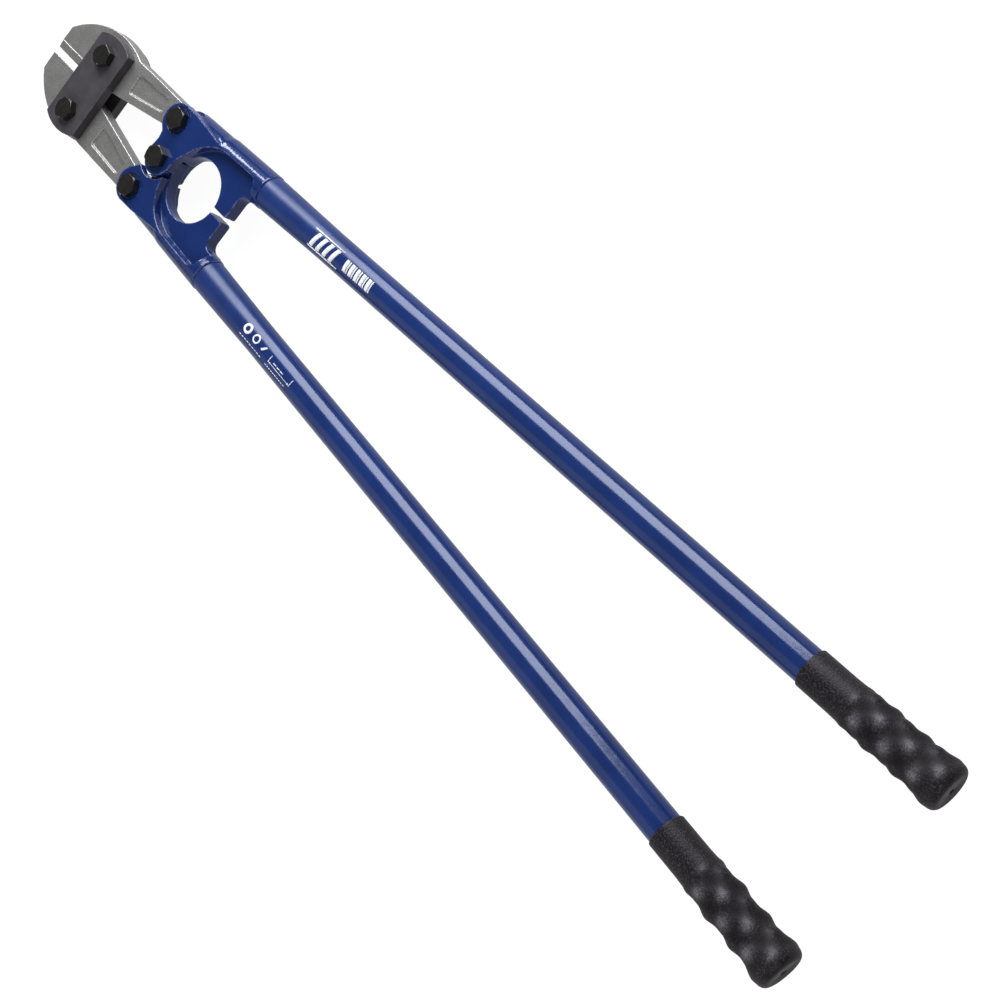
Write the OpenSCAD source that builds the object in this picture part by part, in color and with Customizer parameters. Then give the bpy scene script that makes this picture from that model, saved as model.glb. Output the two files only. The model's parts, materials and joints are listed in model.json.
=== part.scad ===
// Long-handled bolt cutters, lying flat.
// +X points to the jaws, +Y to the left handle, +Z up.
// The origin is the middle of the bounding box at its lowest face, under the pivot fasteners.
// All plan outlines are drawn about the centre pivot, where the two handle heads cross.

/* [Jaws] */
// Thickness of both jaws
jaw_thickness = 12; // [10:0.5:13]
// Gap between the two cutting edges at rest
jaw_gap = 5.2; // [4.6:0.1:7]
// Distance from the centre pivot to the jaw tips
jaw_reach = 158; // [154:1:164]
// Radius of the curved outer edge of the right jaw
right_jaw_radius = 71.7; // [70:0.1:74]
// Radius of the curved outer edge of the left jaw, which is ground a little narrower
left_jaw_radius = 69.2; // [68:0.1:74]
// Depth of the forged panel in each jaw arm
panel_depth = 1.8; // [0.5:0.1:2]

/* [Link plates] */
// Width of a link plate along the tool
link_plate_width = 38; // [34:1:42]
// Length of a link plate across the tool
link_plate_length = 85.6; // [80:0.2:90]
// Thickness of a link plate
link_plate_thickness = 8; // [6:0.5:9]
// Distance from the centre pivot to the link bolts along the tool
link_bolt_x = 102; // [99:1:105]
// Distance from the middle plane to each link bolt
link_bolt_y = 25.5; // [24:0.5:27]

/* [Fasteners] */
// Shank diameter of every pivot bolt
bolt_diameter = 10; // [8:1:10]
// Size across the flats of bolt heads and nuts
hex_across_flats = 16; // [14:1:17]
// Height of a bolt head
bolt_head_height = 6.4; // [5:0.2:7]
// Height of a nut
nut_height = 8; // [6:0.5:9]
// Outer diameter of a washer
washer_diameter = 20; // [18:1:20]
// Thickness of a washer
washer_thickness = 1.6; // [1:0.2:2]

/* [Handle heads] */
// Distance from the centre pivot to the jaw pivots along the tool
jaw_pivot_x = 6; // [5:0.5:7]
// Distance from the middle plane to each jaw pivot
jaw_pivot_y = 31.5; // [31:0.5:32]
// Full height of a handle head over its plates
head_height = 27.6; // [26:0.2:29]
// Height of the thin web around the ring opening
web_height = 12; // [10:0.5:12]
// Radius of the ears that hold a jaw pivot
jaw_ear_radius = 14.5; // [13.5:0.1:15]
// Radius of the ears around the centre pivot
center_ear_radius = 13.5; // [12.5:0.1:13.5]
// Diameter of the ring opening between the handle heads
ring_diameter = 50.4; // [46:0.2:51]
// Gap between the two stop lugs at rest
stop_gap = 4.2; // [4:0.1:6]
// Depth of the round spot faces under the jaw pivot fasteners
spot_face_depth = 1; // [0.4:0.1:1.2]

/* [Handles] */
// Outer diameter of a handle tube
tube_diameter = 25; // [24:0.5:26]
// Outer diameter of a tube where it is spread over its spigot
tube_flare_diameter = 27.2; // [26.6:0.1:27.6]
// Wall thickness of a tube
tube_wall = 2; // [1.5:0.1:2.4]
// Distance along a handle from the centre pivot to the start of its tube
tube_start = 95; // [92:1:100]
// Distance along a handle from the centre pivot to the end of its grip
handle_length = 749; // [600:1:900]
// Angle of each handle to the middle plane at rest
handle_angle = 3.11; // [2.5:0.01:4]
// Distance from the middle plane to a handle axis, abeam the centre pivot
handle_offset = 33.5; // [33:0.1:34]

/* [Grips] */
// Length of a grip
grip_length = 112; // [100:1:130]
// Outer diameter of a grip at its collar
grip_collar_diameter = 27.6; // [27.2:0.2:28.4]
// Diameter of a grip in the waists between its soft waves
grip_waist_diameter = 28.8; // [28.4:0.2:30]
// Height of the soft waves
grip_wave_height = 1.3; // [0.6:0.1:1.6]
// Outer diameter of a grip at its flared end
grip_end_diameter = 33.4; // [32.8:0.2:36]
// Diameter of the vent hole in the end of a grip
vent_diameter = 4; // [2:0.5:5]

/* [Hidden] */
$fn = 96;
eps = 0.01;
cut = 60;                          // height of a cutter that passes right through
running_gap = 0.05;                // radial gap of every running fit

// Heights, all measured from the middle of the tool
jaw_half = jaw_thickness / 2;
link_face = jaw_half + 0.1;        // inner face of a link plate
link_top = link_face + link_plate_thickness;
slot_half = jaw_half + 0.2;        // inner face of the ears of a handle head
head_half = head_height / 2;
web_half = web_height / 2;
spot_half = head_half - spot_face_depth;

// Fasteners
bolt_r = bolt_diameter / 2;
hex_r = hex_across_flats / 2 / cos(30);
hex_crown_slope = 0.5;             // how steeply the corners of a hexagon are turned off
bore_r = bolt_r + running_gap;
washer_r = washer_diameter / 2;
link_sleeve_r = 7;
pivot_sleeve_r = 6.5;
open_pivot_gap = 3;                // free play of the centre pivot in the tongue of the left head
tongue_hole_r = pivot_sleeve_r + open_pivot_gap;
stack_under_links = link_top + washer_thickness + nut_height;

// Turn of each hexagon, in degrees
link_hex_turn = [41, 11];
jaw_hex_turn = [52, 4];
center_hex_turn = 40;

// Jaws
jaw_arc_x = 104.5;                 // centre of the curved outer edge
jaw_arc_y = -26;
jaw_tail_r = 10;
jaw_arm_y = 40.8;                  // outer edge of the arm
cutting_edge_y = jaw_gap / 2;
bevel_run = 6.4;                   // how far the bevel under a cutting edge runs back
land_width = 6.4;                  // ground strip on top of the right cutting edge
land_drop = 0.8;

// Handle heads
ring_r = ring_diameter / 2;
ring_x = -39;
jaw_ear_x = jaw_pivot_x + 0.5;
jaw_ear_y = jaw_pivot_y - 1.5;
jaw_slot_r = jaw_tail_r + 1.6;
spot_face_r = 10.6;
center_clear_r = center_ear_radius + open_pivot_gap;
tongue_r = 15;
tongue_clear_r = tongue_r + open_pivot_gap + 0.2;
stop_front_x = -50;
stop_back_x = -78.7;
stop_side_y = 17.6;
stop_fillet_r = 7;
slot_back_x = -6;
pocket_wall = 3;                   // how far past the handle axis the pocket reaches
pocket_r = 36.7;
right_pocket_along = 52;           // place of its round front end along the handle
left_pocket_along = 49;
ring_relief = 4;                   // wider ring opening through the lower plates
pocket_end = 88;
pocket_corner_r = 8;

// Handles, measured along the handle axis
barrel_r = 14.2;
barrel_under_plate_r = 13.4;
barrel_full = 42;                  // where the barrel rises to its full radius
tube_r = tube_diameter / 2;
flare_r = tube_flare_diameter / 2;
flare_end = tube_start + 72;
flare_bore_r = flare_r - tube_wall;
tube_bore_r = tube_r - tube_wall;
seam = 0.3;                        // joint line between a head and its tube
spigot_end = tube_start + 66;
tube_end = handle_length - 6;
grip_start = handle_length - grip_length;
grip_bore_r = tube_r + running_gap;
grip_end_round = 5;

// Bounding box
grip_end_x = (handle_length - grip_end_round) * cos(handle_angle)
    + (grip_end_diameter / 2 - grip_end_round) * sin(handle_angle) + grip_end_round;
middle_x = (jaw_reach - grip_end_x) / 2;
lowest = stack_under_links;

// ---- Placing ----

// Moves the tool from its centre pivot to the frame's origin.
module in_frame() {
    translate([-middle_x, 0, lowest]) children();
}

// Turns a left-hand shape into a right-hand one.
module right_side() {
    mirror([0, 1, 0]) children();
}

// Puts local +Z along the left handle's axis, towards its grip.
module along_left_handle() {
    translate([0, handle_offset, 0])
        rotate([0, 0, 180 - handle_angle])
            rotate([0, 90, 0])
                children();
}

// Extrudes a plan outline evenly above and below the middle plane.
module slab(half_height) {
    translate([0, 0, -half_height])
        linear_extrude(2 * half_height)
            children();
}

// Fills everything above and below the middle layer, as a cutter.
module outer_layers(inner_half) {
    for (side = [0, 1]) {
        mirror([0, 0, side])
            translate([0, 0, inner_half])
                linear_extrude(cut / 2)
                    children();
    }
}

module round_hole(radius) {
    translate([0, 0, -cut / 2]) cylinder(h = cut, r = radius);
}

// ---- Fasteners ----

// Hexagon with its outer corners turned off to a shallow cone.
module hex_block(height, turn) {
    face_r = hex_across_flats / 2 - 0.3;
    outside_r = hex_r + 0.5;
    intersection() {
        rotate([0, 0, turn]) cylinder(h = height, r = hex_r, $fn = 6);
        rotate_extrude()
            polygon([
                [0, 0], [outside_r, 0], [outside_r, height - (outside_r - face_r) * hex_crown_slope],
                [face_r, height], [0, height]
            ]);
    }
}

// Bolt whose head stands on seat_z and whose shank ends at end_z.
module pivot_bolt(seat_z, end_z, turn) {
    color([0.17, 0.17, 0.16]) {
        translate([0, 0, seat_z]) hex_block(bolt_head_height, turn);
        translate([0, 0, end_z]) cylinder(h = seat_z - end_z + eps, r = bolt_r);
    }
}

// Nut that hangs under seat_z.
module pivot_nut(seat_z, turn) {
    color([0.17, 0.17, 0.16])
        difference() {
            translate([0, 0, seat_z]) mirror([0, 0, 1]) hex_block(nut_height, turn);
            round_hole(bore_r);
        }
}

module pivot_washer(seat_z) {
    color([0.25, 0.25, 0.25])
        difference() {
            translate([0, 0, seat_z - washer_thickness]) cylinder(h = washer_thickness, r = washer_r);
            round_hole(bore_r);
        }
}

module pivot_sleeve(half_length, radius) {
    color([0.6, 0.6, 0.58])
        difference() {
            translate([0, 0, -half_length]) cylinder(h = 2 * half_length, r = radius);
            round_hole(bore_r);
        }
}

// The three pivot places; side is 1 for the left and -1 for the right.
module at_link_bolt(side) {
    translate([link_bolt_x, side * link_bolt_y, 0]) children();
}

module at_jaw_pivot(side) {
    translate([jaw_pivot_x, side * jaw_pivot_y, 0]) children();
}

// ---- Link plates ----

module link_plate_outline() {
    half_width = link_plate_width / 2;
    end_r = link_plate_width;
    for (side = [0, 1]) {
        mirror([0, side])
            intersection() {
                translate([-half_width, 0]) square([link_plate_width, link_plate_length / 2]);
                translate([0, link_plate_length / 2 - end_r]) circle(end_r);
            }
    }
}

module link_plate() {
    color([0.28, 0.27, 0.29])
        difference() {
            translate([link_bolt_x, 0, link_face])
                linear_extrude(link_plate_thickness)
                    link_plate_outline();
            for (side = [-1, 1]) at_link_bolt(side) round_hole(bore_r);
        }
}

// ---- Jaws ----

module jaw_outline(outer_radius) {
    intersection() {
        translate([jaw_arc_x, jaw_arc_y]) circle(outer_radius);
        polygon([
            [jaw_reach, cutting_edge_y], [jaw_reach, 60], [72, 60], [72, 9.1],
            [83, 7.1], [104, 3.9], [118, cutting_edge_y]
        ]);
    }
    polygon([
        [84, 6.9], [84, jaw_arm_y], [jaw_pivot_x, jaw_arm_y + 0.6],
        [jaw_pivot_x, jaw_pivot_y], [8, 21.7]
    ]);
    translate([jaw_pivot_x, jaw_pivot_y]) circle(jaw_tail_r);
}

// Recessed panel that follows the taper of the arm.
module panel_outline() {
    polygon([
        [67.5, 16.9], [69, 18.8], [70, 31.6], [68.3, 33.3],
        [33, 35.2], [31, 33.4], [30.4, 26.6], [32, 24.4]
    ]);
}

module jaw_bevel() {
    front = jaw_reach + 1;
    translate([front, 0, 0])
        rotate([0, -90, 0])
            linear_extrude(front - 117)
                polygon([
                    [jaw_half + 1, cutting_edge_y - 1], [jaw_half - land_drop, cutting_edge_y],
                    [-jaw_half, cutting_edge_y + bevel_run], [-jaw_half - 1, cutting_edge_y + bevel_run],
                    [-jaw_half - 1, cutting_edge_y - 1]
                ]);
}

// Ground strip beside the cutting edge, on the top face.
module jaw_land() {
    front = jaw_reach + 1;
    translate([front, 0, 0])
        rotate([0, -90, 0])
            linear_extrude(front - 118)
                polygon([
                    [jaw_half, cutting_edge_y + land_width], [jaw_half - land_drop, cutting_edge_y],
                    [jaw_half - land_drop, cutting_edge_y - 1], [jaw_half + 1, cutting_edge_y - 1],
                    [jaw_half + 1, cutting_edge_y + land_width]
                ]);
}

// A left-hand jaw; the ground land is on its top face if land_on_top is true.
module jaw(outer_radius, land_on_top) {
    color([0.55, 0.54, 0.53])
        difference() {
            slab(jaw_half) jaw_outline(outer_radius);
            jaw_bevel();
            if (land_on_top) jaw_land();
            outer_layers(jaw_half - panel_depth) panel_outline();
            at_link_bolt(1) round_hole(link_sleeve_r + running_gap);
            at_jaw_pivot(1) round_hole(pivot_sleeve_r + running_gap);
        }
}

// ---- Handle heads ----

module jaw_ear_outline() {
    translate([jaw_ear_x, jaw_ear_y]) circle(jaw_ear_radius);
}

// Edge of the raised plate from the jaw ear back to the barrel, shared by both heads.
function plate_back() = [
    [jaw_pivot_x - 2, jaw_ear_y + jaw_ear_radius - 0.1], [-7, jaw_ear_y + jaw_ear_radius - 0.3],
    [-25.3, 42.4], [-45, 40]
];

module left_plate_outline() {
    jaw_ear_outline();
    polygon(concat([[-45, 25], [-20, 6], [0, 8], [10.8, 13.1], [16, 19.4]], plate_back()));
}

module right_plate_outline() {
    jaw_ear_outline();
    circle(center_ear_radius);
    polygon(concat([[-45, 25], [-18, 0], [-13, -3], [12.8, 4], [11.9, 11], [13.2, 16.5], [17.5, 21.5]],
        plate_back()));
}

// Thin web with its stop lug, from the ring opening out to the handle axis.
module web_outline() {
    back = stop_back_x - stop_fillet_r;
    difference() {
        polygon([
            [-16, stop_gap / 2], [stop_back_x + 1.2, stop_gap / 2], [stop_back_x, stop_gap / 2 + 1.2],
            [stop_back_x, stop_side_y], [back, stop_side_y + stop_fillet_r],
            [-90, stop_side_y + stop_fillet_r], [-90, 38], [-45, 38], [-8, 34], [-8, stop_gap / 2]
        ]);
        translate([back, stop_side_y]) circle(stop_fillet_r);
    }
}

// Room that the web leaves above and below it.
module pocket_outline(pocket_along) {
    translate([0, handle_offset])
        rotate(180 - handle_angle) {
            translate([pocket_along, pocket_r - pocket_wall]) circle(pocket_r);
            translate([pocket_along, -pocket_wall])
                square([pocket_end - pocket_corner_r - pocket_along, 70]);
            translate([pocket_end - pocket_corner_r - eps, pocket_corner_r - pocket_wall])
                square([pocket_corner_r + eps, 70]);
            translate([pocket_end - pocket_corner_r, pocket_corner_r - pocket_wall])
                circle(pocket_corner_r);
        }
}

// Round barrel and the spigot inside the tube.
module barrel() {
    along_left_handle()
        rotate_extrude()
            polygon([
                [0, -4], [9.5, -4], [barrel_under_plate_r, 6], [barrel_under_plate_r, barrel_full - 6],
                [barrel_r, barrel_full], [barrel_r, tube_start - 1], [barrel_r - 0.6, tube_start],
                [flare_bore_r - running_gap, tube_start], [tube_bore_r - running_gap, spigot_end],
                [tube_bore_r - 1.5, spigot_end + 2], [0, spigot_end + 2]
            ]);
}

// Slot between the ears where the jaw tail swings.
module jaw_slot() {
    slab(slot_half) {
        translate([jaw_pivot_x, jaw_pivot_y]) circle(jaw_slot_r);
        translate([slot_back_x, 12]) square([60, 60]);
    }
}

module jaw_pivot_seat() {
    at_jaw_pivot(1) {
        round_hole(bore_r);
        for (side = [0, 1]) {
            mirror([0, 0, side]) translate([0, 0, spot_half]) cylinder(h = cut, r = spot_face_r);
        }
    }
}

module ring_opening() {
    translate([ring_x, 0, 0]) {
        round_hole(ring_r);
        translate([0, 0, -web_half - cut / 2]) cylinder(h = cut / 2, r = ring_r + ring_relief);
    }
}

module head_body() {
    slab(head_half) children();
    barrel();
}

// The left head: ears for its jaw, and a tongue that fits between the centre ears of the right head.
module head_left() {
    color([0.09, 0.15, 0.42])
        difference() {
            union() {
                difference() {
                    head_body() left_plate_outline();
                    jaw_slot();
                    outer_layers(web_half) pocket_outline(left_pocket_along);
                    outer_layers(web_half) circle(center_clear_r);
                    slab(web_half + 1) translate([slot_back_x, -20]) square([40, 40]);
                }
                slab(web_half) tongue_outline();
                slab(web_half) web_outline();
            }
            jaw_pivot_seat();
            ring_opening();
            round_hole(tongue_hole_r);
        }
}

module tongue_outline() {
    difference() {
        union() {
            circle(tongue_r);
            polygon([[2, 14.8], [-2, 20.5], [-6.5, 28], [-7, 36], [-20, 36], [-30, 20], [-14, 5]]);
        }
        translate([jaw_pivot_x, jaw_pivot_y]) circle(jaw_slot_r);
    }
}

// The right head, drawn left-handed and mirrored: ears for its jaw and ears for the centre pivot.
module head_right() {
    color([0.09, 0.15, 0.42])
        right_side()
            difference() {
                union() {
                    difference() {
                        head_body() right_plate_outline();
                        outer_layers(web_half) pocket_outline(right_pocket_along);
                    }
                    slab(web_half) web_outline();
                }
                jaw_slot();
                slab(slot_half) circle(tongue_clear_r);
                slab(slot_half) translate([slot_back_x, -20]) square([60, 60]);
                jaw_pivot_seat();
                ring_opening();
                round_hole(bore_r);
            }
}

// ---- Handles ----

module handle_tube() {
    color([0.09, 0.15, 0.42])
        along_left_handle()
            rotate_extrude()
                polygon([
                    [flare_bore_r, tube_start + seam], [flare_r - 0.4, tube_start + seam],
                    [flare_r, tube_start + seam + 0.4], [flare_r, tube_start + 6], [tube_r, flare_end],
                    [tube_r, tube_end], [tube_bore_r, tube_end], [tube_bore_r, flare_end]
                ]);
}

// Plain body of a grip: slim collar, three soft waves and a flared end.
module handle_grip() {
    collar_r = grip_collar_diameter / 2;
    waist_r = grip_waist_diameter / 2;
    end_r = grip_end_diameter / 2;
    first_wave = grip_start + 41.5;
    half_wave = 10.8;
    color([0.1, 0.1, 0.11])
        along_left_handle()
            difference() {
                rotate_extrude() {
                    polygon(concat(
                        [[0, grip_start], [collar_r - 0.8, grip_start], [collar_r, grip_start + 0.8]],
                        [[waist_r, first_wave - half_wave]],
                        [for (i = [0:5]) [waist_r + (i % 2 == 0 ? grip_wave_height : 0), first_wave + i * half_wave]],
                        [[end_r, handle_length - grip_end_round - 1], [end_r, handle_length - grip_end_round],
                        [end_r - grip_end_round, handle_length], [0, handle_length]]
                    ));
                    translate([end_r - grip_end_round, handle_length - grip_end_round])
                        circle(grip_end_round);
                }
                translate([0, 0, grip_start - 1]) cylinder(h = tube_end - grip_start + 1.5, r = grip_bore_r);
                translate([0, 0, grip_start]) cylinder(h = grip_length + 10, r = vent_diameter / 2);
            }
}

// ---- Nodes ----

module front_link_plate() { in_frame() link_plate(); }
module rear_link_plate() { in_frame() mirror([0, 0, 1]) link_plate(); }
module link_bolt(side, turn) {
    in_frame() at_link_bolt(side) pivot_bolt(link_top, -stack_under_links, turn);
}
module link_sleeve(side) { in_frame() at_link_bolt(side) pivot_sleeve(link_face, link_sleeve_r); }
module link_washer(side) { in_frame() at_link_bolt(side) pivot_washer(-link_top); }
module link_nut(side, turn) {
    in_frame() at_link_bolt(side) pivot_nut(-link_top - washer_thickness, turn);
}
module jaw_pivot_bolt(side, turn) {
    in_frame() at_jaw_pivot(side)
        pivot_bolt(spot_half, -spot_half - washer_thickness - nut_height, turn);
}
module jaw_pivot_sleeve(side) { in_frame() at_jaw_pivot(side) pivot_sleeve(slot_half, pivot_sleeve_r); }
module jaw_pivot_washer(side) { in_frame() at_jaw_pivot(side) pivot_washer(-spot_half); }
module jaw_pivot_nut(side, turn) {
    in_frame() at_jaw_pivot(side) pivot_nut(-spot_half - washer_thickness, turn);
}
// Screwed into the lower ear of the right head, so it has no nut.
module center_pivot_bolt() { in_frame() pivot_bolt(head_half, -head_half, center_hex_turn); }
module center_pivot_sleeve() { in_frame() pivot_sleeve(slot_half, pivot_sleeve_r); }

front_link_plate();
rear_link_plate();
link_bolt(-1, link_hex_turn[0]);  // link_bolt_right
link_bolt(1, link_hex_turn[1]);  // link_bolt_left
link_sleeve(-1);  // link_sleeve_right
link_sleeve(1);  // link_sleeve_left
link_washer(-1);  // link_washer_right
link_washer(1);  // link_washer_left
link_nut(-1, link_hex_turn[0]);  // link_nut_right
link_nut(1, link_hex_turn[1]);  // link_nut_left
in_frame() right_side() jaw(right_jaw_radius, true);  // jaw_right
in_frame() jaw(left_jaw_radius, false);  // jaw_left
jaw_pivot_bolt(-1, jaw_hex_turn[0]);  // jaw_pivot_bolt_right
jaw_pivot_bolt(1, jaw_hex_turn[1]);  // jaw_pivot_bolt_left
jaw_pivot_sleeve(-1);  // jaw_pivot_sleeve_right
jaw_pivot_sleeve(1);  // jaw_pivot_sleeve_left
jaw_pivot_washer(-1);  // jaw_pivot_washer_right
jaw_pivot_washer(1);  // jaw_pivot_washer_left
jaw_pivot_nut(-1, jaw_hex_turn[0]);  // jaw_pivot_nut_right
jaw_pivot_nut(1, jaw_hex_turn[1]);  // jaw_pivot_nut_left
center_pivot_bolt();
center_pivot_sleeve();
in_frame() head_right();
in_frame() head_left();
in_frame() right_side() handle_tube();  // tube_right
in_frame() handle_tube();  // tube_left
in_frame() right_side() handle_grip();  // grip_right
in_frame() handle_grip();  // grip_left
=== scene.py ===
"""Looks of the long-handled bolt cutters.

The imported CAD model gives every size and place. This script rounds the castings and forgings, builds the
moulded grips and the printed marks, and gives each surface its material. Lengths are in metres, and names
that end in _mm are in millimetres.
"""

import json
import math

import bmesh
import bpy
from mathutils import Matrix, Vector


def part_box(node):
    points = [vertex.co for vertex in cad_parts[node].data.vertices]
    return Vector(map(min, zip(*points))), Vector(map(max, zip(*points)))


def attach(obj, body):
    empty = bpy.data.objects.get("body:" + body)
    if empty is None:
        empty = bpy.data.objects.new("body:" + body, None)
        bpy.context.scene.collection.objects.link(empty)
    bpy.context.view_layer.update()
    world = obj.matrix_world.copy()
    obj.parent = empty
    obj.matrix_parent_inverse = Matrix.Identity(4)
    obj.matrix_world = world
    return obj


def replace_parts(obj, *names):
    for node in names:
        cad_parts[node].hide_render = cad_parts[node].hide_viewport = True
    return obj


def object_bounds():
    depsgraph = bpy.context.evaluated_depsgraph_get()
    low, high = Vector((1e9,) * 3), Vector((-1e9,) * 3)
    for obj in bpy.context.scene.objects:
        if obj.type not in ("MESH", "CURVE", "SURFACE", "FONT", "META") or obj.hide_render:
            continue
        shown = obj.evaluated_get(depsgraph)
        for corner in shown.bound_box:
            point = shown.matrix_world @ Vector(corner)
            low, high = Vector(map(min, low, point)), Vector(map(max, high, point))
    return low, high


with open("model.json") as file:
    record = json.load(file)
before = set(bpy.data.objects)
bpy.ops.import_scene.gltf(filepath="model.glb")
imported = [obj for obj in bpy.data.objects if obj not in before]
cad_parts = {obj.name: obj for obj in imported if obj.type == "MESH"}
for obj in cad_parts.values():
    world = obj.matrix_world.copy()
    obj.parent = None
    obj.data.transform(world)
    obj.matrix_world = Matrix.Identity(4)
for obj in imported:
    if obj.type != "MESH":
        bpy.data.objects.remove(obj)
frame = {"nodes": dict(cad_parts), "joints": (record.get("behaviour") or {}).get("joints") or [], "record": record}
cad_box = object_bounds()

MM = 0.001
SIDES = {"right": -1, "left": 1}
JOINTS = {joint["name"]: joint for joint in frame["joints"]}
MID_HEIGHT = JOINTS["handle_left_pivot"]["pos_m"][2]
CENTRE_PIVOT = sum(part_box("center_pivot_sleeve"), Vector()) / 2


# ---- Materials ----

class Look:
    """One material, with short names for the nodes it is made of."""

    def __init__(self, name):
        self.material = bpy.data.materials.new(name)
        self.material.use_nodes = True
        self.tree = self.material.node_tree
        self.tree.nodes.clear()
        self.shader = self.node("ShaderNodeBsdfPrincipled")
        output = self.node("ShaderNodeOutputMaterial")
        self.link(self.shader.outputs["BSDF"], output.inputs["Surface"])
        self.place = self.node("ShaderNodeTexCoord").outputs["Object"]

    def node(self, kind, **settings):
        made = self.tree.nodes.new(kind)
        for key, value in settings.items():
            setattr(made, key, value)
        return made

    def link(self, output, socket):
        self.tree.links.new(output, socket)

    def plug(self, value, socket):
        """Links an output, or sets a plain number or colour."""
        if isinstance(value, bpy.types.NodeSocket):
            self.link(value, socket)
        else:
            socket.default_value = value

    def set(self, **inputs):
        """Sets the shader's sockets, such as Base_Color=value."""
        for name, value in inputs.items():
            self.plug(value, self.shader.inputs[name.replace("_", " ")])

    def axis(self, name):
        """X, Y or Z of the place."""
        split = self.node("ShaderNodeSeparateXYZ")
        self.link(self.place, split.inputs["Vector"])
        return split.outputs[name]

    def stretched(self, factors):
        """The place, with each axis multiplied, so that a pattern is squeezed along it."""
        mapping = self.node("ShaderNodeMapping")
        self.link(self.place, mapping.inputs["Vector"])
        mapping.inputs["Scale"].default_value = factors
        return mapping.outputs["Vector"]

    def noise(self, grain_mm, detail=3.0, rough=0.55, place=None):
        texture = self.node("ShaderNodeTexNoise")
        self.link(place or self.place, texture.inputs["Vector"])
        texture.inputs["Scale"].default_value = 1000 / grain_mm
        texture.inputs["Detail"].default_value = detail
        texture.inputs["Roughness"].default_value = rough
        return texture.outputs["Fac"]

    def pebbles(self, grain_mm):
        texture = self.node("ShaderNodeTexVoronoi", feature="SMOOTH_F1")
        self.link(self.place, texture.inputs["Vector"])
        texture.inputs["Scale"].default_value = 1000 / grain_mm
        texture.inputs["Smoothness"].default_value = 0.6
        return texture.outputs["Distance"]

    def between(self, value, low, high, out_low=0.0, out_high=1.0):
        """Maps value from low..high to out_low..out_high, with soft ends."""
        ramp = self.node("ShaderNodeMapRange", interpolation_type="SMOOTHSTEP")
        self.plug(value, ramp.inputs["Value"])
        limits = {"From Min": low, "From Max": high, "To Min": out_low, "To Max": out_high}
        for key, number in limits.items():
            ramp.inputs[key].default_value = number
        return ramp.outputs["Result"]

    def maths(self, operation, first, second=0.0):
        """One step of arithmetic, by the name that Blender gives it."""
        step = self.node("ShaderNodeMath", operation=operation)
        self.plug(first, step.inputs[0])
        self.plug(second, step.inputs[1])
        return step.outputs["Value"]

    def mix(self, share, first, second):
        """Colour that goes from first to second with share."""
        mixer = self.node("ShaderNodeMix", data_type="RGBA")
        self.plug(share, mixer.inputs[0])
        self.plug(first, mixer.inputs[6])
        self.plug(second, mixer.inputs[7])
        return mixer.outputs[2]

    def clouded(self, grain_mm, first, second):
        """Colour that drifts between first and second in soft clouds."""
        return self.mix(self.between(self.noise(grain_mm), 0.35, 0.65), first, second)

    def edges(self, low, high):
        """1 on sharp outer edges, broken up by noise, and 0 elsewhere.

        low and high are the range of pointiness, which is 0.5 on a flat face, over which an edge comes in.
        """
        pointiness = self.node("ShaderNodeNewGeometry").outputs["Pointiness"]
        uneven = 0.012
        worn = self.maths("ADD", pointiness, self.between(self.noise(1.6), 0.3, 0.7, -uneven, uneven))
        return self.between(worn, low, high)

    def bump(self, *layers):
        """Lays bumps over each other; each layer is a height and its depth in mm."""
        normal = None
        for height, depth_mm in layers:
            bump = self.node("ShaderNodeBump")
            bump.inputs["Strength"].default_value = 1.0
            bump.inputs["Distance"].default_value = depth_mm * MM
            self.link(height, bump.inputs["Height"])
            if normal:
                self.link(normal, bump.inputs["Normal"])
            normal = bump.outputs["Normal"]
        self.link(normal, self.shader.inputs["Normal"])


def grey(value, warm=0.0):
    """A grey as a colour, a little warmer or, below zero, a little bluer."""
    return (value * (1 + warm), value, value * (1 - warm), 1.0)


def scaled(colour, factor):
    """A colour with each part multiplied."""
    return [factor * part for part in colour] + [1.0]


def forged_steel():
    """Blasted forging with edges painted pale, partly as wear and partly as a painted highlight, and a fine ridge
    behind the ground strip of one jaw, raised by a bump and painted bright as a highlight line.
    """
    look = Look("forged_steel")
    # The pale colour is partly edge wear and partly a painted highlight, on the edges and on the ridge.
    pits, dull, clean, painted_highlight = grey(0.2, 0.02), grey(0.30, 0.02), grey(0.355, 0.02), grey(0.75, 0.01)
    blasted = look.noise(0.8, detail=4.0, rough=0.75)
    colour = look.mix(look.between(blasted, 0.36, 0.6), pits, look.clouded(9.0, dull, clean))
    # Painted highlight: a narrow bright line along the ridge behind the ground strip, which a bump also raises.
    ridge_y, ridge_half_width, ridge_from = -9.0 * MM, 0.5 * MM, CENTRE_PIVOT.x + 118 * MM
    off_ridge = look.maths("ABSOLUTE", look.maths("SUBTRACT", look.axis("Y"), ridge_y))
    ridge = look.maths("MULTIPLY", look.between(off_ridge, 0.0, ridge_half_width, 1.0, 0.0),
                       look.between(look.axis("X"), ridge_from, ridge_from + MM))
    # Edges painted pale: partly wear, partly a painted highlight.
    edge = look.maths("MAXIMUM", look.edges(0.508, 0.575), ridge)
    look.set(Base_Color=look.mix(edge, colour, painted_highlight), Metallic=0.7)
    polish = look.maths("MULTIPLY", edge, -0.14)
    look.set(Roughness=look.maths("ADD", look.between(blasted, 0.3, 0.7, 0.34, 0.48), polish))
    look.bump((look.noise(3.2), 0.06), (blasted, 0.07), (ridge, 0.3))
    return look.material


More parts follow.
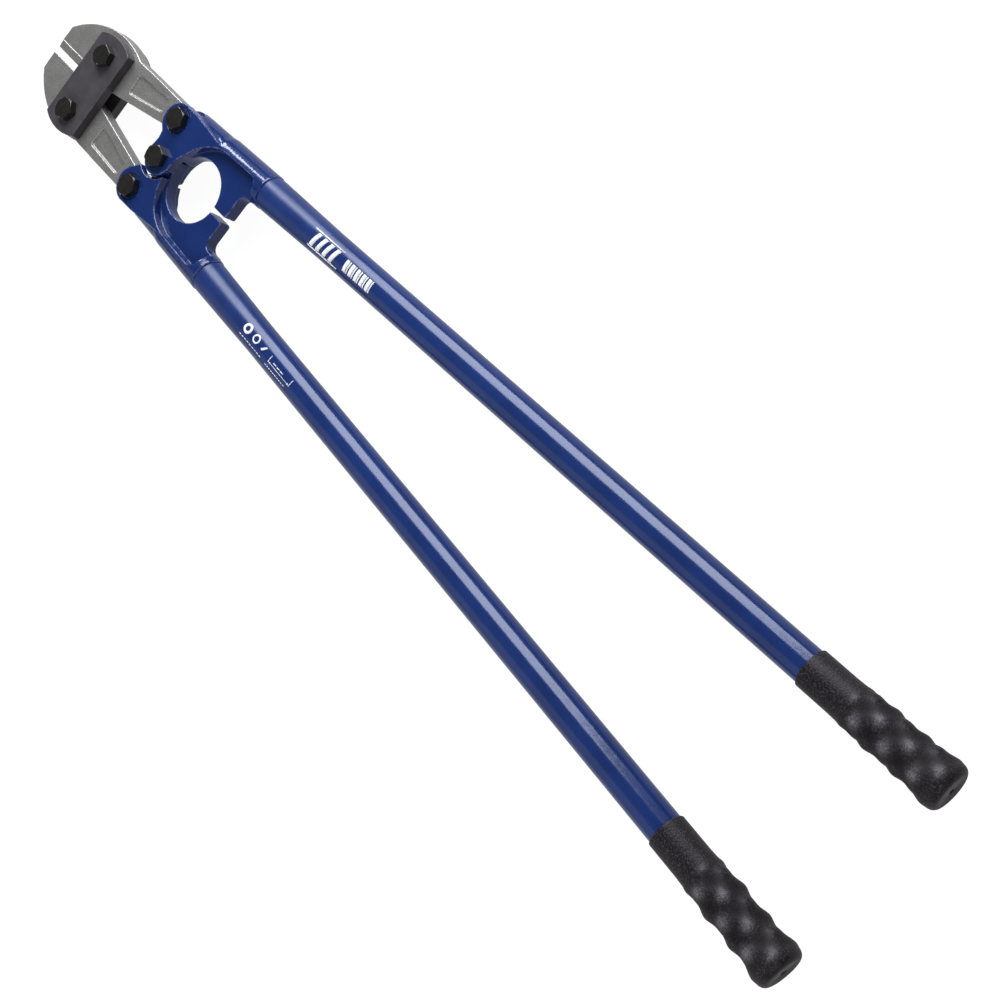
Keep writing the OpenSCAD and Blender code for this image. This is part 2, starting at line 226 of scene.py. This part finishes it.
def dark_plate():
    """Charcoal phosphate with an oily shine and a fine pale grain."""
    look = Look("dark_plate")
    dark, light, speck = (0.041, 0.0375, 0.0435, 1), (0.051, 0.047, 0.054, 1), (0.075, 0.07, 0.08, 1)
    grain = look.noise(0.5, rough=0.7)
    colour = look.mix(look.between(grain, 0.55, 0.8), look.clouded(12.0, dark, light), speck)
    look.set(Base_Color=look.mix(look.edges(0.525, 0.6), colour, grey(0.2)))
    look.set(Roughness=look.between(grain, 0.3, 0.7, 0.32, 0.44), Metallic=0.1, Specular_IOR_Level=0.35)
    look.bump((look.noise(5.0), 0.03), (grain, 0.03))
    return look.material


def black_bolt():
    """Black oxide, patchy, glossy and worn to steel on its edges, which are also painted pale as a highlight."""
    look = Look("black_bolt")
    black, brown, steel = (0.0125, 0.012, 0.0115, 1), (0.018, 0.0165, 0.015, 1), (0.34, 0.33, 0.31, 1)
    patch = look.noise(3.5, detail=4.0)
    colour = look.mix(look.between(patch, 0.4, 0.7), black, brown)
    # The steel on the edges is partly wear and partly a painted highlight.
    look.set(Base_Color=look.mix(look.edges(0.53, 0.62), colour, steel), Metallic=0.15)
    look.set(Roughness=look.between(patch, 0.35, 0.7, 0.16, 0.26))
    look.bump((look.noise(2.5), 0.015))
    return look.material


def blue_enamel(name, strength, rough, swell_mm, swell_depth_mm, thin_edge_highlight, dull_end):
    """Gloss enamel over a casting or a tube, whose surface shows through as a swell.

    strength is how light the blue is, and rough is the least roughness. thin_edge_highlight is how pale the edges
    get, partly where the enamel is thin and partly as a painted highlight. dull_end is how much rougher it gets on
    the spread end of a tube.
    """
    look = Look(name)
    dark, light = scaled((0.0070, 0.0222, 0.111), strength), scaled((0.0086, 0.0265, 0.130), strength)
    # The pale colour of the edges stands partly for thin enamel and partly for a painted highlight.
    pale = (0.16, 0.18, 0.40, 1)
    thin = look.between(look.noise(6.0, detail=5.0), 0.3, 0.6, 0, thin_edge_highlight)
    # Painted highlight: the edges are painted pale, broken up by noise.
    thin = look.maths("MULTIPLY", look.edges(0.508, 0.57), thin)
    look.set(Base_Color=look.mix(thin, look.clouded(30.0, dark, light), pale))
    fine = look.noise(0.9, rough=0.6)
    dull_to, dull_from = CENTRE_PIVOT.x - 210 * MM, CENTRE_PIVOT.x - 120 * MM
    dull = look.between(look.axis("X"), dull_to, dull_from, 0.0, dull_end)
    look.set(Roughness=look.maths("ADD", look.between(fine, 0.3, 0.75, rough, rough + 0.02), dull))
    look.set(Specular_Tint=(0.79, 0.84, 1.0, 1))
    look.bump((look.noise(swell_mm, detail=2.0), swell_depth_mm), (fine, 0.003))
    return look.material


def black_grip():
    """Grained black rubber, with a painted highlight on the bumps towards its top and bottom, and painted shade,
    dull black, between the bumps.

    build_grip stores at each point of a grip how much painted highlight and how much painted shade it gets.
    """
    look = Look("black_grip")
    black, soft_black = (0.005, 0.0043, 0.0055, 1), (0.007, 0.006, 0.0075, 1)
    # The third colour here is painted shade for the valleys, and the last a painted highlight for the bump tops.
    grain, shade_black, pale = (0.038, 0.032, 0.042, 1), (0.001, 0.001, 0.001, 1), (0.16, 0.143, 0.17, 1)
    speck = look.noise(1.1, detail=2.0, rough=0.6)
    painted_highlight = look.node("ShaderNodeAttribute", attribute_name="painted_highlight").outputs["Fac"]
    valley_shade = look.node("ShaderNodeAttribute", attribute_name="valley_shade").outputs["Fac"]
    colour = look.mix(look.between(speck, 0.5, 0.66), look.clouded(14.0, black, soft_black), grain)
    # Painted shade: the valleys between the bumps go dull black.
    colour = look.mix(look.maths("MULTIPLY", valley_shade, 0.95), colour, shade_black)
    # Painted highlight: pale spots on the bump tops.
    highlight_share = look.maths("MULTIPLY", painted_highlight, look.between(speck, 0.35, 0.65, 0.4, 1.0))
    look.set(Base_Color=look.mix(highlight_share, colour, pale))
    look.set(Specular_IOR_Level=0.3, Specular_Tint=(1.0, 0.93, 1.0, 1))
    dull = look.maths("MULTIPLY", valley_shade, 0.3)
    look.set(Roughness=look.maths("ADD", look.between(speck, 0.35, 0.65, 0.44, 0.56), dull))
    look.bump((look.pebbles(1.2), 0.1), (speck, 0.13))
    return look.material


def bright_sleeve():
    """Turned steel, with its fine marks running round it."""
    look = Look("bright_sleeve")
    turned = look.noise(1.0, place=look.stretched((1, 1, 14)))
    look.set(Base_Color=look.mix(look.between(turned, 0.3, 0.7), grey(0.4), grey(0.5)), Metallic=1.0)
    look.set(Roughness=look.between(turned, 0.3, 0.7, 0.22, 0.38))
    look.bump((turned, 0.01))
    return look.material


def white_ink():
    """Printing ink with small thin spots."""
    look = Look("white_ink")
    thin, full = (0.6, 0.62, 0.68, 1), (0.8, 0.81, 0.84, 1)
    speck = look.noise(0.5, detail=4.0, rough=0.7)
    look.set(Base_Color=look.mix(look.between(speck, 0.3, 0.6), thin, full))
    look.set(Roughness=look.between(speck, 0.3, 0.7, 0.3, 0.42))
    look.bump((speck, 0.008))
    return look.material


CAST_ENAMEL = blue_enamel("blue_enamel_cast", strength=0.84, rough=0.07, swell_mm=3.2, swell_depth_mm=0.1,
                          thin_edge_highlight=1.0, dull_end=0.0)
TUBE_ENAMEL = blue_enamel("blue_enamel_tube", strength=1.0, rough=0.16, swell_mm=16.0, swell_depth_mm=0.12,
                          thin_edge_highlight=0.0, dull_end=0.15)
MATERIALS = {
    "forged_steel": forged_steel(),
    "dark_plate": dark_plate(),
    "black_bolt": black_bolt(),
    "blue_enamel": TUBE_ENAMEL,
    "black_grip": black_grip(),
    "bright_sleeve": bright_sleeve(),
}
INK = white_ink()


# ---- Pieces ----

def rise(value, start, width):
    """0 up to start, 1 from start + width on, and a smooth slope between. A width below zero looks back."""
    share = min(max((value - start) / width, 0.0), 1.0)
    return share * share * (3 - 2 * share)


def mesh_from(shape, name, smooth=False):
    """Turns a bmesh into a mesh and frees it."""
    mesh = bpy.data.meshes.new(name)
    shape.to_mesh(mesh)
    shape.free()
    for face in mesh.polygons:
        face.use_smooth = smooth
    return mesh


def add_piece(name, mesh, material, body):
    piece = bpy.data.objects.new(name, mesh)
    bpy.context.scene.collection.objects.link(piece)
    mesh.materials.clear()
    mesh.materials.append(material)
    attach(piece, body)
    return piece


def welded_mesh(node):
    """A CAD node's mesh with the doubled points along its sharp edges joined."""
    shape = bmesh.new()
    shape.from_mesh(frame["nodes"][node].data)
    bmesh.ops.remove_doubles(shape, verts=shape.verts, dist=0.002 * MM)
    return mesh_from(shape, node + "_skin")


def evaluated_mesh(piece):
    """A piece's mesh with its modifiers applied."""
    seen = bpy.context.evaluated_depsgraph_get()
    return bpy.data.meshes.new_from_object(piece.evaluated_get(seen))


def rounded_skin(node, name, material, body, voxel_mm, rounds, softness=None):
    """Stands for a CAD node: the same shape in an even mesh, relaxed so that edges and corners are rounded.

    rounds is how many times it is relaxed, and softness gives each point's share of that, from 0 to 1.
    """
    draft = bpy.data.objects.new(name + "_draft", welded_mesh(node))
    bpy.context.scene.collection.objects.link(draft)
    even = draft.modifiers.new("even", "REMESH")
    even.mode = "VOXEL"
    even.voxel_size = voxel_mm * MM
    even.use_smooth_shade = True
    mesh = evaluated_mesh(draft)
    draft.modifiers.clear()
    draft.data = mesh
    relax = draft.modifiers.new("relax", "SMOOTH")
    relax.factor = 0.5
    relax.iterations = rounds
    if softness:
        group = draft.vertex_groups.new(name="softness")
        for point in mesh.vertices:
            group.add([point.index], softness(point.co), "REPLACE")
        relax.vertex_group = "softness"
    mesh = evaluated_mesh(draft)
    bpy.data.objects.remove(draft)
    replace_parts(add_piece(name, mesh, material, body), node)


def finish_cad_nodes():
    """Materials for every CAD node, and a small broken edge on plates, bolts, nuts and washers."""
    slots = {part["node"]: part["material_slot"] for part in frame["record"]["subparts"]}
    bodies = {}
    for body, nodes in frame["record"]["behaviour"]["bodies"].items():
        bodies.update({node: body for node in nodes})
    broken_edges = {"dark_plate": (0.4, 2), "black_bolt": (0.2, 1)}
    for node, piece in frame["nodes"].items():
        slot = slots[node]
        piece.data.materials.clear()
        piece.data.materials.append(MATERIALS[slot])
    for node, slot in slots.items():
        if slot in broken_edges:
            voxel_mm, rounds = broken_edges[slot]
            rounded_skin(node, node + "_finished", MATERIALS[slot], bodies[node], voxel_mm, rounds)


def jaw_softness(place):
    """Full rounding on the forged arms, and hardly any along the ground cutting edges."""
    ground_from, ground_width, blend, least = CENTRE_PIVOT.x + 112 * MM, 11 * MM, 6 * MM, 0.08
    beside = rise(abs(place.y), ground_width, blend)
    behind = rise(place.x, ground_from, -blend)
    return least + (1 - least) * max(beside, behind)


def build_castings():
    """The handle heads and the jaws."""
    for side in SIDES:
        rounded_skin("head_" + side, f"head_{side}_casting", CAST_ENAMEL,
                     "handle_" + side, voxel_mm=0.6, rounds=6)
        rounded_skin("jaw_" + side, f"jaw_{side}_forging", MATERIALS["forged_steel"],
                     f"jaw_{side}_body", voxel_mm=0.45, rounds=16, softness=jaw_softness)


# ---- Handles ----

# The axis of each handle runs through a point beside the centre pivot, this far from the middle of the tool.
HANDLE_OFFSET = 33.5 * MM
HANDLE_ANGLE = math.radians(3.11)

# A grip, in mm. Each stretch over which its shape changes is given by its start, from the front edge of the
# grip, and its length.
GRIP_START, GRIP_LENGTH = 637, 112
# The second reach is the size of the painted highlight spot on each bump.
BUMP_REACH, HIGHLIGHT_REACH = 8.2, 4.6
WIDENS, FLARES = (24, 18), (83, 26)
BUMPS_BEGIN, BUMPS_SINK, BUMPS_END = (33, 8), (92, 12), (102, 7)
VALLEYS_END = (86, 22)
# Stretch along the grip over which painted shade darkens the valleys.
SHADE_BEGINS, SHADE_ENDS = (36, 8), (98, 8)


class Handle:
    """Places on one handle: along its axis from beside the centre pivot, and turned round it."""

    def __init__(self, side):
        sign = SIDES[side]
        self.side = side
        self.start = Vector((CENTRE_PIVOT.x, sign * HANDLE_OFFSET, MID_HEIGHT))
        self.axis = Vector((-math.cos(HANDLE_ANGLE), sign * math.sin(HANDLE_ANGLE), 0))
        self.up = Vector((0, 0, 1))
        self.across = Vector((-self.axis.y, self.axis.x, 0))

    def point(self, along_mm, turn, radius_mm):
        """A point on a circle round the axis; turn is in radians, from straight up towards -Y."""
        spoke = self.up * math.cos(turn) + self.across * math.sin(turn)
        return self.start + (self.axis * along_mm + spoke * radius_mm) * MM


def ring_surface(name, rings):
    """Joins rings of points into a closed mesh, the last ring to the first."""
    shape = bmesh.new()
    loops = [[shape.verts.new(point) for point in ring] for ring in rings]
    for first, second in zip(loops, loops[1:] + loops[:1]):
        count = len(first)
        for i in range(count):
            j = (i + 1) % count
            shape.faces.new((first[i], first[j], second[j], second[i]))
    bmesh.ops.recalc_face_normals(shape, faces=shape.faces)
    return mesh_from(shape, name, smooth=True)


def grip_bump(along_mm, turn, reach_mm):
    """Height, from 0 to 1, of the round bumps, which stand in eight staggered rows round the grip."""
    pitch, first, rows, first_row, mean_radius = 23.2, 57.0, 8, math.radians(25), 14.6
    row_pair = 4 * math.pi / rows
    height = 0.0
    for shift in (0, 0.5):
        off = (along_mm - first) / pitch + shift
        beside = (turn - first_row) / row_pair + shift
        far = math.hypot((off - round(off)) * pitch, (beside - round(beside)) * row_pair * mean_radius)
        height += math.exp(-1.6 * (far / reach_mm) ** 2)
    return height * rise(along_mm, *BUMPS_BEGIN) * (1 - rise(along_mm, *BUMPS_END))


def grip_radius_mm(along_mm, turn):
    """Outer radius: a slim collar, bumps with valleys between them, and a flared end."""
    collar, middle, end, bump, valley = 13.8, 14.3, 16.5, 2.6, 0.9
    body = collar + (middle - collar) * rise(along_mm, *WIDENS) + (end - middle) * rise(along_mm, *FLARES)
    bump *= 1 - 0.5 * rise(along_mm, *BUMPS_SINK)
    valley *= rise(along_mm, *BUMPS_BEGIN) * (1 - rise(along_mm, *VALLEYS_END))
    return body + bump * grip_bump(along_mm, turn, BUMP_REACH) - valley


def grip_profile():
    """Rings of a grip, from its bore round the outside to its vent.

    Each is a place along the grip, a radius, and whether that radius counts from the moulded surface.
    """
    along_steps, bore, bore_end, vent = 190, 12.55, 106.5, 2.0
    lip, rim, dish, dish_slope = 0.9, 5.0, 0.5, 1.9
    profile = [(bore_end, bore, False), (lip, bore, False), (0.15, bore + 0.25, False)]
    for degrees in range(75, 0, -15):
        angle = math.radians(degrees)
        profile.append((lip * (1 - math.sin(angle)), -lip * (1 - math.cos(angle)), True))
    for i in range(along_steps + 1):
        profile.append((lip + (GRIP_LENGTH - rim - lip) * i / along_steps, 0.0, True))
    for degrees in range(8, 90, 8):
        angle = math.radians(degrees)
        profile.append((GRIP_LENGTH - rim + rim * math.sin(angle), -rim * (1 - math.cos(angle)), True))
    flat, floor = grip_radius_mm(GRIP_LENGTH, 0) - rim - 0.3, GRIP_LENGTH - dish
    profile += [(GRIP_LENGTH - 0.02, flat, False), (floor, flat - dish_slope, False)]
    profile += [(floor, vent + 0.5, False), (floor - 0.4, vent, False), (bore_end, vent, False)]
    return profile


def build_grip(handle):
    """One moulded grip, which holds for each point how much painted highlight and how much painted shade it gets.
    """
    around = 128
    rings, painted_highlight, valley_shade = [], [], []
    for along, radius, moulded in grip_profile():
        ring = []
        # The stretch along the grip where the valleys get painted shade.
        dark = rise(along, *SHADE_BEGINS) * (1 - rise(along, *SHADE_ENDS)) if moulded else 0.0
        for k in range(around):
            turn = 2 * math.pi * k / around
            own = radius + (grip_radius_mm(along, turn) if moulded else 0.0)
            ring.append(handle.point(along + GRIP_START, turn, own))
            # Painted highlight: pale spots on the bump tops, only towards the top and bottom of the grip.
            facing = rise(abs(math.cos(turn)), 0.5, 0.5) if moulded else 0.0
            painted_highlight.append(facing * grip_bump(along, turn, HIGHLIGHT_REACH))
            # Painted shade: dark in the valleys between the bumps.
            valley_shade.append(dark * max(0.0, 1 - 1.6 * grip_bump(along, turn, BUMP_REACH)))
        rings.append(ring)
    name = f"grip_{handle.side}_moulding"
    mesh = ring_surface(name, rings)
    for key, values in (("painted_highlight", painted_highlight), ("valley_shade", valley_shade)):
        mesh.attributes.new(key, "FLOAT", "POINT").data.foreach_set("value", values)
    piece = add_piece(name, mesh, MATERIALS["black_grip"], "handle_" + handle.side)
    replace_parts(piece, "grip_" + handle.side)


# ---- Printed marks ----

# Places on a tube are in mm along the handle, and in degrees round it from straight up towards -Y.

def tube_radius_mm(along_mm):
    """Outer radius of a tube: a spread end, a taper, then the plain tube."""
    taper_start, taper_length, radius, spread = 101, 66, 12.5, 13.6
    return spread + (radius - spread) * min(max((along_mm - taper_start) / taper_length, 0.0), 1.0)


def ink_patch(shape, handle, outline):
    """Adds a four-cornered patch of ink that follows the tube. Its first side runs along the tube."""
    lift_mm, degrees_per_cell, cells_along = 0.05, 3, 2
    a, b, c, d = [Vector(corner) for corner in outline]
    cells = max(2, int(max(abs(a.y - d.y), abs(b.y - c.y), abs(a.y - b.y)) / degrees_per_cell) + 1)
    grid = []
    for i in range(cells_along + 1):
        row = []
        near = a.lerp(b, i / cells_along)
        far = d.lerp(c, i / cells_along)
        for j in range(cells + 1):
            spot = near.lerp(far, j / cells)
            place = handle.point(spot.x, math.radians(spot.y), tube_radius_mm(spot.x) + lift_mm)
            row.append(shape.verts.new(place))
        grid.append(row)
    for first, second in zip(grid, grid[1:]):
        for j in range(cells):
            shape.faces.new((first[j], second[j], second[j + 1], first[j + 1]))


def ink_bar(shape, handle, start, end, low, high):
    """A patch with square corners, from start to end along the tube and from low to high round it."""
    ink_patch(shape, handle, [(start, low), (end, low), (end, high), (start, high)])


def ink_ring(shape, handle, along, turn, inner_mm, outer_mm):
    """A printed ring."""
    degrees_per_mm = math.degrees(1 / tube_radius_mm(along))
    count = 24
    for k in range(count):
        corners = []
        for radius, step in ((inner_mm, k), (outer_mm, k), (outer_mm, k + 1), (inner_mm, k + 1)):
            angle = 2 * math.pi * step / count
            beside = radius * math.sin(angle) * degrees_per_mm
            corners.append((along + radius * math.cos(angle), turn + beside))
        ink_patch(shape, handle, corners)


def ink_dashes(shape, handle, start, end, turn, dash, gap):
    """A row of short dashes along the tube."""
    half_width = 1.6
    while start + dash <= end:
        ink_bar(shape, handle, start, start + dash, turn - half_width, turn + half_width)
        start += dash + gap


def ink_piece(handle, name, draw):
    """Runs draw on an empty shape and adds the result as one thin layer of ink."""
    shape = bmesh.new()
    draw(shape, handle)
    bmesh.ops.remove_doubles(shape, verts=shape.verts, dist=0.001 * MM)
    bmesh.ops.recalc_face_normals(shape, faces=shape.faces)
    mesh = mesh_from(shape, name, smooth=True)
    piece = add_piece(name, mesh, INK, "handle_" + handle.side)
    layer = piece.modifiers.new("ink_layer", "SOLIDIFY")
    layer.thickness = 0.04 * MM
    layer.offset = 0.0


def draw_rules(shape, handle):
    """Two rules with slanted bars between them."""
    start, end = 155.0, 188.5
    for middle, half_width in ((25, 2.1), (-40, 2.8)):
        ink_bar(shape, handle, start, end, middle - half_width, middle + half_width)
    bars, pitch, lean, width, low, high = 4, 7.2, 4.0, 3.8, -35, 19
    for k in range(bars):
        foot = start + 1.5 + k * pitch
        top = foot + lean
        ink_patch(shape, handle, [(foot, low), (foot + width, low), (top + width, high), (top, high)])


def draw_scale(shape, handle):
    """A block of five plain fields, each a wide and a narrow bar."""
    fields, first, pitch, low, high = 5, 194.0, 6.2, -28, 15
    wide, narrow, gap = 3.3, 1.2, 0.45
    for k in range(fields):
        start = first + k * pitch
        ink_bar(shape, handle, start, start + wide, low, high)
        ink_bar(shape, handle, start + wide + gap, start + wide + gap + narrow, low, high)


def draw_symbols(shape, handle):
    """Two rings, a slanted tick and a row of dashes."""
    ink_ring(shape, handle, 161.5, 9, 2.0, 4.1)
    ink_ring(shape, handle, 173.0, 8, 2.3, 3.6)
    ink_patch(shape, handle, [(181.0, -2), (183.0, -4), (186.0, 16), (184.4, 17)])
    ink_dashes(shape, handle, 157.0, 188.0, -25, 2.3, 0.9)


def draw_length_line(shape, handle):
    """A plain dimension line with an arrow head and a tick at each end, over two rows of dashes."""
    start, end, level = 193.0, 220.0, -10.0
    half_width, arrow_length, arrow_half_width = 0.9, 2.6, 3.4
    ink_bar(shape, handle, start, end, level - half_width, level + half_width)
    for place, inward in ((start, 1), (end, -1)):
        ink_bar(shape, handle, place - 0.25, place + 0.25, level - 3, level + 23)
        base = place + inward * arrow_length
        ink_patch(shape, handle, [(place, level - 0.2), (base, level - arrow_half_width),
                                  (base, level + arrow_half_width), (place, level + 0.2)])
    ink_dashes(shape, handle, 198.0, 214.5, 0, 3.6, 0.7)
    ink_dashes(shape, handle, 191.0, 218.6, -27, 1.8, 0.8)


def build_marks(handles):
    """The four layers of ink, two on each tube."""
    ink_piece(handles["right"], "marks_right_rules", draw_rules)
    ink_piece(handles["right"], "marks_right_scale", draw_scale)
    ink_piece(handles["left"], "marks_left_symbols", draw_symbols)
    ink_piece(handles["left"], "marks_left_length", draw_length_line)


# ---- Studio ----

def build_floor():
    """A pale floor just under the part, which the camera sees as nearly white."""
    half_size, drop, centre = 3.0, 0.2 * MM, (cad_box[0] + cad_box[1]) / 2
    light_given, light_seen = 0.5, 0.95
    shape = bmesh.new()
    for x, y in ((-1, -1), (1, -1), (1, 1), (-1, 1)):
        shape.verts.new((centre.x + x * half_size, centre.y + y * half_size, -drop))
    shape.faces.new(shape.verts)
    mesh = mesh_from(shape, "floor")
    floor = bpy.data.objects.new("floor", mesh)
    bpy.context.scene.collection.objects.link(floor)
    look = Look("pale_floor")
    look.set(Base_Color=look.mix(look.noise(400.0), grey(0.1), grey(0.12)), Roughness=0.8)
    look.set(Specular_IOR_Level=0.0, Emission_Color=(1, 1, 1, 1))
    seen = look.node("ShaderNodeLightPath").outputs["Is Camera Ray"]
    look.set(Emission_Strength=look.between(seen, 0, 1, light_given, light_seen))
    mesh.materials.append(look.material)


def add_light(name, place, aim, width, height, power, colour=(1, 1, 1)):
    """A soft panel lamp at place, turned towards aim."""
    lamp = bpy.data.lights.new(name, "AREA")
    lamp.shape = "RECTANGLE"
    lamp.size = width
    lamp.size_y = height
    lamp.energy = power
    lamp.color = colour
    holder = bpy.data.objects.new(name, lamp)
    holder.location = place
    holder.rotation_euler = (Vector(aim) - Vector(place)).to_track_quat("-Z", "Y").to_euler()
    bpy.context.scene.collection.objects.link(holder)
    return holder


def build_lights():
    """Soft panels beside the right handle, beyond the left one and past both ends."""
    cool = (0.96, 0.98, 1.0)
    add_light("side_panel", (0.75, -1.14, 1.0), (0.75, 0, 0.02), 1.1, 1.3, 42, cool)
    add_light("side_wing", (1.56, -1.14, 1.0), (1.56, 0, 0.02), 0.5, 1.3, 1.8, cool)
    add_light("front_panel", (1.85, -1.15, 1.0), (0.35, 0, 0), 0.4, 0.75, 16, cool)
    add_light("far_panel", (0.3, 1.6, 0.85), (0.3, 0, 0), 3.0, 1.5, 6)
    add_light("grip_end_panel", (-1.6, 0.3, 1.2), (0.1, 0, 0), 1.0, 0.5, 6)
    fill = add_light("fill_panel", (0.1, 1.5, 1.3), (0, 0, 0), 2.5, 1.5, 26)
    fill.visible_glossy = False


def build_world():
    """Dim white light from all round, which the camera sees as plain white."""
    light_given, light_seen = 0.12, 1.0
    world = bpy.data.worlds.new("studio")
    world.use_nodes = True
    tree = world.node_tree
    given = tree.nodes["Background"]
    seen = tree.nodes.new("ShaderNodeBackground")
    for background, strength in ((given, light_given), (seen, light_seen)):
        background.inputs["Color"].default_value = (1, 1, 1, 1)
        background.inputs["Strength"].default_value = strength
    path = tree.nodes.new("ShaderNodeLightPath")
    choose = tree.nodes.new("ShaderNodeMixShader")
    tree.links.new(path.outputs["Is Camera Ray"], choose.inputs["Fac"])
    tree.links.new(given.outputs["Background"], choose.inputs[1])
    tree.links.new(seen.outputs["Background"], choose.inputs[2])
    tree.links.new(choose.outputs["Shader"], tree.nodes["World Output"].inputs["Surface"])
    bpy.context.scene.world = world
    bpy.context.scene.view_settings.view_transform = "Standard"


def build_camera():
    """The camera, above the grip ends of the handles, looking along them to the jaws."""
    camera = bpy.data.objects.new("camera", bpy.data.cameras.new("camera"))
    camera.location = (-0.69086, -0.28323, 1.13695)
    camera.rotation_euler = [math.radians(angle) for angle in (9.589, 28.824, -135.029)]
    camera.data.sensor_width = 36
    camera.data.lens = 69.98
    camera.data.clip_end = 20
    bpy.context.scene.collection.objects.link(camera)
    bpy.context.scene.camera = camera


build_camera()
build_lights()
build_world()
build_floor()
finish_cad_nodes()
build_castings()
handles = {side: Handle(side) for side in SIDES}
for handle in handles.values():
    build_grip(handle)
build_marks(handles)
